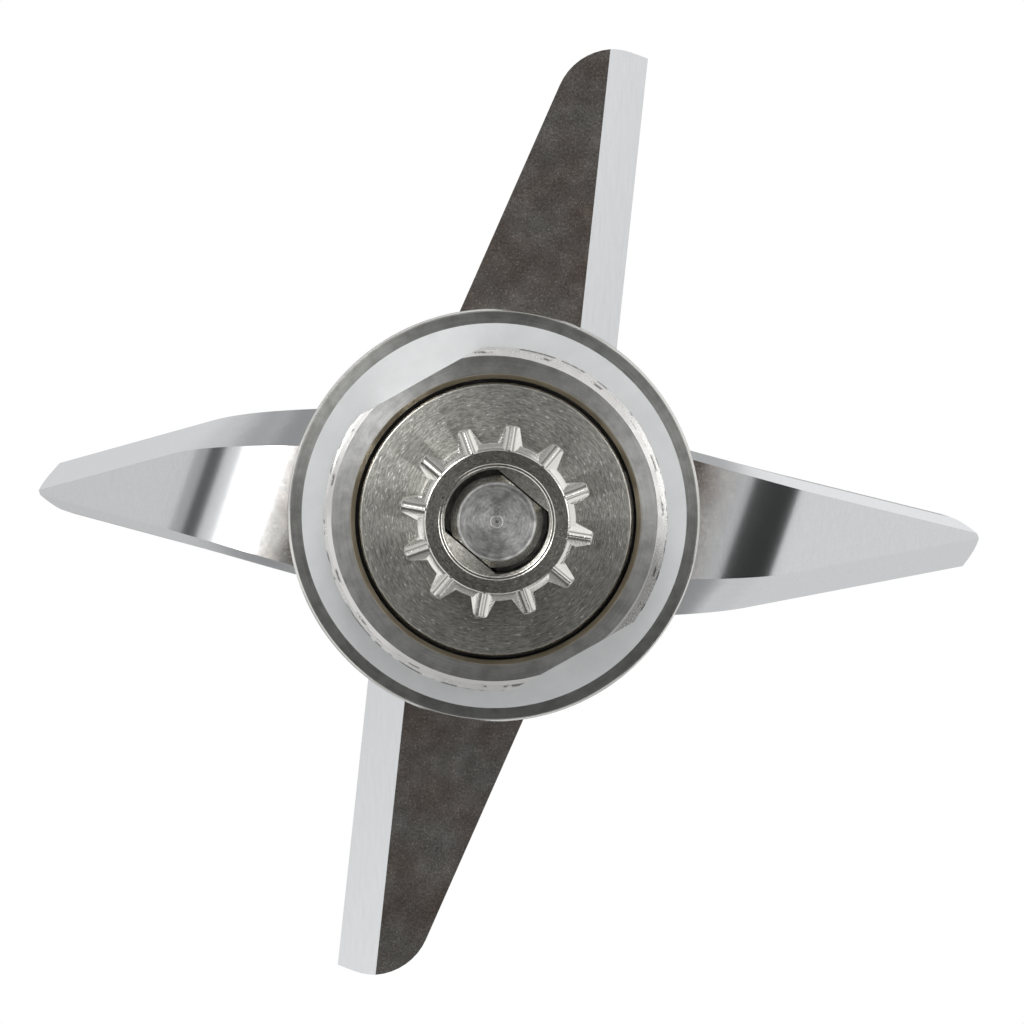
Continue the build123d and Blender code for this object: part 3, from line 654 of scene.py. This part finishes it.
mouth = spun_solid(
    "mouth",
    [(0, SPLINE_END - OVERSHOOT), (MOUTH_STEPS[0][0], SPLINE_END - OVERSHOOT)]
    + [(radius, SPLINE_END + depth) for radius, depth in MOUTH_STEPS]
    + [(0, SPLINE_END + MOUTH_STEPS[-1][1])],
    MOUTH_TURN,
)
hole_bm = bmesh.new()
bmesh.ops.create_cone(
    hole_bm, cap_ends=True, segments=ROUND_STEPS, radius1=HOLE_RADIUS, radius2=HOLE_RADIUS,
    depth=HOLE_LENGTH,
)
bmesh.ops.translate(hole_bm, vec=(0, 0, HOLE_MIDDLE), verts=hole_bm.verts)
for side in (1, -1):
    flat_side = Matrix.Rotation(HOLE_TURN, 3, "Z") @ Vector((side, 0, 0))
    cut_flat(hole_bm, flat_side * HOLE_HALF_FLATS, flat_side)
hole = to_object(hole_bm, "hole")
combine(spline, mouth, "DIFFERENCE")
combine(spline, hole, "DIFFERENCE")
spline.data.name = "drive_spline_star"
dress_over(spline, "rotor", "drive_spline")

# %% [markdown]
# ## Turned steels
# A lathe leaves fine rings about the axis. They aren't perfect circles of one depth: the tool
# chatters, so each ring fades in and out on its way round. Noise that changes fast with the
# radius and the height, and slower with the direction, gives that without a seam. The rings
# also stretch reflections across themselves, which is the bow-tie sheen of turned faces, so
# the shader is anisotropic with its direction taken round the axis. Edges, thread and tooth
# ends are rubbed bright, and their bright colour is also a painted highlight on every slope
# (on the shaft a painted shade); the surface's own direction tells where those are. Steep
# slopes get a painted shade, the thread's crest and the end's edge a painted shadow in rough
# places, and the spline painted glints. The slopes of the thread are torn, so they scatter
# part of the light instead of mirroring it.


# %% Where a surface is and how it lies
def sizes_of(tree, vector):
    """The three parts of a vector, without their signs."""
    made = tree.nodes.new("ShaderNodeSeparateXYZ")
    tree.links.new(node(tree, "VectorMath", {0: vector}, operation="ABSOLUTE"), made.inputs[0])
    return made.outputs


def axis_distance(tree, unit):
    """Distance from the axis, in units of so many millimetres."""
    place = node(tree, "TexCoord", output="Object")
    flat = node(tree, "VectorMath", {0: place, 1: (1, 1, 0)}, operation="MULTIPLY")
    radius = node(tree, "VectorMath", {0: flat}, output="Value", operation="LENGTH")
    return times(tree, radius, 1 / (unit * MM))


# %% Rings from the lathe and spots
def turning_marks(tree, spacing, sweep, detail=2.0):
    """Noise in rings about the axis, with a spacing in millimetres."""
    place = node(tree, "TexCoord", output="Object")
    flat = node(tree, "VectorMath", {0: place, 1: (1, 1, 0)}, operation="MULTIPLY")
    around = node(tree, "VectorMath", {0: flat}, operation="NORMALIZE")
    climbs = times(tree, node(tree, "SeparateXYZ", {0: place}, output="Z"), 1 / (spacing * MM))
    swept = node(tree, "VectorMath", {0: around, "Scale": sweep}, operation="SCALE")
    lifted = node(tree, "CombineXYZ", {"Z": axis_distance(tree, spacing)})
    vector = node(tree, "VectorMath", {0: swept, 1: lifted}, operation="ADD")
    sockets = {"Vector": vector, "W": climbs, "Scale": 1.0, "Detail": detail, "Roughness": 0.6}
    return node(tree, "TexNoise", sockets, noise_dimensions="4D")


def spots(tree, size, detail=3.0, stretch=(1, 1, 1)):
    """Even noise with spots of a size in millimetres."""
    place = node(tree, "TexCoord", output="Object")
    scaled = node(tree, "Mapping", {"Vector": place, "Scale": stretch})
    sockets = {"Vector": scaled, "Scale": 1 / (size * MM), "Detail": detail, "Roughness": 0.6}
    return node(tree, "TexNoise", sockets)


# %% Turned steel
ZONE_UNIT = 20.0
CLEAN = (1, 1, 1)
NONE = (0, 0, 0)
BRIGHT_STEEL = (0.80, 0.79, 0.77, 1)
# Colour of the painted glints.
PAINTED_GLINT_COLOUR = (0.95, 0.94, 0.92, 1)
# Painted shade: the dark colour laid on steep slopes and along rough edges, where a turned part would
# mirror dark or lie in shade.
PAINTED_SHADE_COLOUR = (0.06, 0.055, 0.05, 1)
# Band round each edge radius that the painted burr shadow fills.
BURR_SHADOW_BAND = [(-0.14, NONE), (-0.05, CLEAN), (0.04, CLEAN), (0.1, NONE)]
MOUTH_FADE = (-12 * MM, -9 * MM)
TORN_METAL = 0.35
TORN_FADE = 0.5
POLISH_FADE = 4
RELIEF = 0.02 * MM


def turned_steel(
    name, dark, light, rough, spacing, sweep, groove, anisotropic,
    painted_glint_share=0.0, zones=(), burr_shadows=(), smooth_end=None, slope_wear_and_painted_light=BRIGHT_STEEL, stain=(2.5, 0.84),
    painted_slope_shade=0.0, torn_within=None,
):
    """Lathe-turned metal: rings in colour, roughness and relief, with a stretched sheen.

    Lengths are in millimetres. Zones are tints by radius, for faces that look down and for the
    inside of the barrel's mouth; on some parts they hold painted shade and painted highlights.
    Each burr edge gives a radius where a painted shadow darkens rough places, and the noise
    level that such a place starts at. The glint share is how much of the colour becomes painted
    glints, short bright arcs that stand for tiny facets catching the lamp. Near the height
    smooth_end the metal is polished. The slope colour goes on all slopes: worn edges with a
    painted highlight on them, and on the shaft a painted shade instead. Stain is the size of the
    stains and how dark they are, and the slope shade is the share of painted shade, a dark
    reflection, laid on steep slopes. Slopes inside the radius torn_within are so torn that they
    scatter most of the light.
    """
    finish, tree, shader = start_finish(
        name, Metallic=1.0, Anisotropic=anisotropic, Anisotropic_Rotation=0.25
    )
    rings = turning_marks(tree, spacing, sweep)
    grain = spots(tree, 0.14, 2.0)
    normal = node(tree, "TexCoord", output="Normal")
    level = sizes_of(tree, normal)["Z"]
    edges = spread(tree, level, 0.80, 0.97, 1, 0)
    facing_up = node(tree, "SeparateXYZ", {0: normal}, output="Z")
    looks_down = spread(tree, facing_up, -0.3, -0.05, 1, 0)
    height = node(tree, "SeparateXYZ", {0: node(tree, "TexCoord", output="Object")}, output="Z")

    colour = ramp(tree, rings, [(0.34, dark), (0.66, light)])
    stain_size, shade = stain
    stain_stops = [(0.36, (shade, shade, shade)), (0.60, CLEAN)]
    stains = ramp(tree, spots(tree, stain_size, 5.0), stain_stops)
    colour = tinted(tree, 1.0, colour, stains, "MULTIPLY")
    # Painted highlights: short bright arcs in the colour stand for tiny facets that catch the lamp.
    if painted_glint_share:
        painted_glints = spread(tree, turning_marks(tree, 0.11, 22.0, 1.0), 0.63, 0.73, 0, painted_glint_share)
        colour = tinted(tree, painted_glints, colour, PAINTED_GLINT_COLOUR)
    # Slopes take this colour: worn metal on edges, and with it a painted highlight where slopes would
    # mirror bright light; on the shaft it is darker, a painted shade.
    colour = tinted(tree, edges, colour, slope_wear_and_painted_light)
    # Painted shade: steep slopes, such as the sides of the tooth roofs, are darkened as if they
    # mirrored something dark.
    if painted_slope_shade:
        steep = ramp(tree, level, [(0.30, NONE), (0.42, CLEAN), (0.53, CLEAN), (0.59, NONE)])
        colour = tinted(tree, times(tree, steep, painted_slope_shade), colour, PAINTED_SHADE_COLOUR)
    if zones:
        stops = [(radius / ZONE_UNIT, tint) for radius, tint in zones]
        zoned = spread(tree, height, *MOUTH_FADE, 1, 0)
        zoned = node(tree, "Math", {0: looks_down, 1: zoned}, operation="MAXIMUM")
        tints = ramp(tree, axis_distance(tree, ZONE_UNIT), stops)
        colour = tinted(tree, zoned, colour, tints, "MULTIPLY")
    # Painted shadow: a dark line in rough places along the thread's crest and the end's edge,
    # standing for the shade under burrs.
    for radius, least in burr_shadows:
        band = [((radius + offset) / ZONE_UNIT, share) for offset, share in BURR_SHADOW_BAND]
        burr_shadow_ring = ramp(tree, axis_distance(tree, ZONE_UNIT), band)
        torn = spread(tree, spots(tree, 1.8, 5.0), least, least + 0.04, 0, 0.9)
        colour = tinted(tree, times(tree, times(tree, burr_shadow_ring, torn), looks_down), colour, PAINTED_SHADE_COLOUR)
    plug(tree, colour, shader.inputs["Base Color"])

    if torn_within is not None:
        distance = axis_distance(tree, 1.0)
        inside = spread(tree, distance, torn_within - TORN_FADE, torn_within, 1, 0)
        torn_slopes = times(tree, times(tree, edges, looks_down), inside)
        plug(tree, spread(tree, torn_slopes, 0, 1, 1.0, TORN_METAL), shader.inputs["Metallic"])
    roughness = spread(tree, grain, 0.3, 0.7, rough + 0.06, rough - 0.06)
    roughness = times(tree, roughness, spread(tree, edges, 0, 1, 1.0, 0.45))
    if smooth_end is not None:
        polish_end = (smooth_end + POLISH_FADE) * MM
        polish = spread(tree, height, smooth_end * MM, polish_end, 0.6, 1.0)
        roughness = times(tree, roughness, polish)
    plug(tree, roughness, shader.inputs["Roughness"])
    both = node(tree, "Math", {0: rings, 1: grain}, operation="ADD")
    relief = node(tree, "Bump", {"Height": both, "Strength": groove, "Distance": RELIEF})
    plug(tree, relief, shader.inputs["Normal"])
    plug(tree, node(tree, "Tangent", direction_type="RADIAL", axis="Z"), shader.inputs["Tangent"])
    return finish


# %% Steels of the housing, the shaft, the spline and the spacers
finishes = {}
# Tints by radius on the housing: the bore's wall and chamfer at the mouth are darkened, a painted
# shade for the narrow gap round the disc, with a brown tint of the metal on the chamfer; the flange's
# rim outside the gasket is darker, and its outer edge a little darker.
FLANGE_RIM_TINT = (0.60, 0.60, 0.585)
housing_zones = [(10.9, (0.15, 0.13, 0.10)), (11.1, (0.20, 0.17, 0.12))]
housing_zones += [(11.36, (0.28, 0.235, 0.165)), (11.42, CLEAN), (15.5, CLEAN)]
housing_zones += [(15.6, FLANGE_RIM_TINT), (16.5, FLANGE_RIM_TINT), (16.58, (0.86, 0.86, 0.84))]
# The housing gets painted shade in the bore's mouth and a painted shadow in rough places of its crest
# and end edge.
finishes["housing_steel"] = turned_steel(
    "turned_housing_steel", (0.50, 0.50, 0.49), (0.60, 0.60, 0.59),
    rough=0.40, spacing=0.12, sweep=3.0, groove=0.25, anisotropic=0.82,
    zones=housing_zones, burr_shadows=((13.12, 0.56), (BARREL_RADIUS, 0.50)),
    stain=(1.3, 0.74), torn_within=15.0,
)
# Tints by radius on the shaft's end: real turning rings, and painted highlights, the bright rings on
# the centre mark and near the edge of the nose.
shaft_rings_and_highlights = [(0.0, 0.8), (0.09, 0.8), (0.15, 2.6), (0.26, 1.7), (0.36, 2.3), (0.47, 2.0)]
shaft_rings_and_highlights += [(0.52, 0.9), (0.72, 1.12), (0.86, 0.92), (1.05, 1.08), (1.2, 0.97), (2.45, 0.95)]
shaft_rings_and_highlights += [(2.56, 1.15), (2.66, 0.93), (2.86, 0.92), (2.89, 1.9), (2.96, 1.9), (3.0, 0.9)]
# The shaft's slope colour is darker than its faces: a painted shade on the cone of its nose.
finishes["shaft_steel"] = turned_steel(
    "turned_shaft_steel", (0.40, 0.40, 0.395), (0.66, 0.66, 0.65),
    rough=0.42, spacing=0.14, sweep=4.0, groove=0.5, anisotropic=0.50,
    zones=[(radius, (share, share, share)) for radius, share in shaft_rings_and_highlights],
    stain=(0.9, 0.58), slope_wear_and_painted_light=(0.48, 0.48, 0.47, 1),
)
# The spline's colour holds painted light: painted glints, a bright painted highlight on its slopes
# and painted shade on the steep sides of its tooth roofs.
finishes["spline_steel"] = turned_steel(
    "turned_spline_steel", (0.175, 0.170, 0.155), (0.35, 0.345, 0.318),
    rough=0.50, spacing=0.12, sweep=15.0, groove=0.8, anisotropic=0.35,
    painted_glint_share=0.45, smooth_end=SPLINE_END, slope_wear_and_painted_light=(0.82, 0.81, 0.76, 1), painted_slope_shade=0.62,
    zones=[(5.35, (1.2, 1.18, 1.16)), (5.55, CLEAN)],
)
finishes["spacer_aluminium"] = turned_steel(
    "turned_aluminium", (0.68, 0.68, 0.69), (0.82, 0.82, 0.83),
    rough=0.35, spacing=0.15, sweep=1.5, groove=0.2, anisotropic=0.5,
)
print("turned finishes:", sorted(finishes))

# %% [markdown]
# ## Blade steel
# The blade is stamped from sheet and tumbled, which leaves its level faces brown and grey with
# a fine grain and a few bright specks. The bevels are ground bright, and the bends and the
# upswept ends are rubbed smooth. A bevel slopes across its wing, so the surface's own direction
# tells it from a bend: across is X on the flat wings, which lie along Y, and Y on the swept ones.

# %% Tumbled sheet with ground edges
blade_finish, tree, shader = start_finish("tumbled_blade_steel", Metallic=1.0)
places = sizes_of(tree, node(tree, "TexCoord", output="Object"))
slopes = sizes_of(tree, node(tree, "TexCoord", output="Normal"))
on_swept_wing = node(tree, "Math", {0: places["X"], 1: places["Y"]}, operation="GREATER_THAN")
across_wing = node(tree, "Mix", {0: on_swept_wing, 2: slopes["X"], 3: slopes["Y"]})
not_bevelled = spread(tree, across_wing, 0.30, 0.42, 1, 0)
tumbled = times(tree, not_bevelled, spread(tree, slopes["Z"], 0.94, 0.995, 0, 1))
patches = spots(tree, 5.0, 4.0)
grain = spots(tree, 0.20, 3.0)
smudges = spots(tree, 1.7, 5.0)
specks = times(tree, spots(tree, 0.26, 1.0), spread(tree, smudges, 0.35, 0.65, 0.85, 1.0))
hairlines = spots(tree, 0.25, 3.0, (1, 0.12, 1))
mottled = ramp(tree, patches, [(0.36, (0.46, 0.385, 0.34)), (0.64, (0.53, 0.51, 0.48))])
smears = [(0.34, (0.82, 0.81, 0.80)), (0.52, CLEAN), (0.68, (1.28, 1.28, 1.27))]
mottled = tinted(tree, 1.0, mottled, ramp(tree, smudges, smears), "MULTIPLY")
pits = [(0.32, (0.80, 0.80, 0.80)), (0.68, CLEAN)]
mottled = tinted(tree, 1.0, mottled, ramp(tree, grain, pits), "MULTIPLY")
mottled = tinted(tree, spread(tree, specks, 0.71, 0.79, 0, 0.30), mottled, (0.95, 0.93, 0.90, 1))
ground = ramp(tree, hairlines, [(0.30, (0.70, 0.715, 0.73)), (0.70, (0.74, 0.75, 0.76))])
brushed = ramp(tree, grain, [(0.35, (0.965, 0.965, 0.96)), (0.65, CLEAN)])
ground = tinted(tree, not_bevelled, ground, tinted(tree, 1.0, ground, brushed, "MULTIPLY"))
plug(tree, tinted(tree, tumbled, ground, mottled), shader.inputs["Base Color"])
tumbled_rough = spread(tree, grain, 0.3, 0.7, 0.20, 0.28)
ground_rough = spread(tree, not_bevelled, 0, 1, 0.22, 0.16)
roughness = node(tree, "Mix", {0: tumbled, 2: ground_rough, 3: tumbled_rough})
plug(tree, roughness, shader.inputs["Roughness"])
pitted = times(tree, grain, tumbled)
relief = node(tree, "Bump", {"Height": pitted, "Strength": 0.05, "Distance": RELIEF})
plug(tree, relief, shader.inputs["Normal"])
finishes["blade_steel"] = blade_finish
print("blade finish:", blade_finish.name)

# %% [markdown]
# ## Plastics, rubber and polished steel
# The gasket is soft white plastic that lets a little light in. The seal is black rubber, the
# ball cage is moulded plastic, the retaining ring is spring steel with a dark oxide skin, and
# the balls, the rings and the cap nut are polished.


# %% Soft and moulded materials
def moulded(name, dark, light, rough, grain, **sockets):
    """Moulded material: faint mottling, with a fine matte grain in relief."""
    finish, tree, shader = start_finish(name, **sockets)
    clouds = spots(tree, 3.0)
    fine = spots(tree, grain)
    plug(tree, ramp(tree, clouds, [(0.35, dark), (0.65, light)]), shader.inputs["Base Color"])
    plug(tree, spread(tree, fine, 0.3, 0.7, rough + 0.08, rough - 0.08), shader.inputs["Roughness"])
    relief = node(tree, "Bump", {"Height": fine, "Strength": 0.2, "Distance": 0.03 * MM})
    plug(tree, relief, shader.inputs["Normal"])
    return finish


finishes["white_gasket"] = moulded(
    "white_gasket_plastic", (0.80, 0.82, 0.83), (0.86, 0.875, 0.885), rough=0.48, grain=0.25,
    Subsurface_Weight=0.05, Subsurface_Scale=0.001, Subsurface_Radius=(1.0, 1.0, 1.0),
    Specular_IOR_Level=0.2,
)
finishes["seal_rubber"] = moulded(
    "black_seal_rubber", (0.030, 0.030, 0.032), (0.055, 0.055, 0.058), rough=0.55, grain=0.12
)
finishes["bearing_cage"] = moulded(
    "ivory_cage_plastic", (0.66, 0.60, 0.46), (0.74, 0.68, 0.54), rough=0.42, grain=0.15
)
moulded_slots = ("white_gasket", "seal_rubber", "bearing_cage")
print("moulded finishes:", [finishes[slot].name for slot in moulded_slots])


# %% Polished and pressed steel
def polished_steel(name, dark, light, rough, grain):
    """Smooth metal with faint clouds and hairline marks."""
    finish, tree, shader = start_finish(name, Metallic=1.0)
    clouds = spots(tree, 4.0)
    hairs = spots(tree, grain, 2.0, (1, 1, 0.1))
    plug(tree, ramp(tree, clouds, [(0.35, dark), (0.65, light)]), shader.inputs["Base Color"])
    roughness = spread(tree, hairs, 0.3, 0.7, rough + 0.05, max(rough - 0.05, 0.02))
    plug(tree, roughness, shader.inputs["Roughness"])
    relief = node(tree, "Bump", {"Height": hairs, "Strength": 0.06, "Distance": 0.01 * MM})
    plug(tree, relief, shader.inputs["Normal"])
    return finish


polished = {
    "bearing_steel": ("polished_bearing_steel", (0.70, 0.70, 0.71), (0.80, 0.80, 0.81), 0.10, 0.2),
    "nut_steel": ("polished_nut_steel", (0.62, 0.62, 0.62), (0.74, 0.74, 0.74), 0.20, 0.3),
    "shield_steel": ("pressed_shield_steel", (0.56, 0.56, 0.57), (0.68, 0.68, 0.69), 0.28, 0.4),
    "spring_steel": ("oxidised_spring_steel", (0.10, 0.10, 0.105), (0.20, 0.195, 0.19), 0.35, 0.3),
}
for slot, recipe in polished.items():
    finishes[slot] = polished_steel(*recipe)
print("finishes in all:", len(finishes))

# %% [markdown]
# ## Finishes on their parts
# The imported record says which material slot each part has, so the finishes go on by slot and
# a part that is added later can't be forgotten.

# %% Dress every part
for part in frame["record"]["subparts"]:
    for material_slot in frame["nodes"][part["node"]].material_slots:
        material_slot.material = finishes[part["material_slot"]]
for piece, slot in ((threaded_housing, "housing_steel"), (spline, "spline_steel")):
    piece.data.materials.clear()
    piece.data.materials.append(finishes[slot])
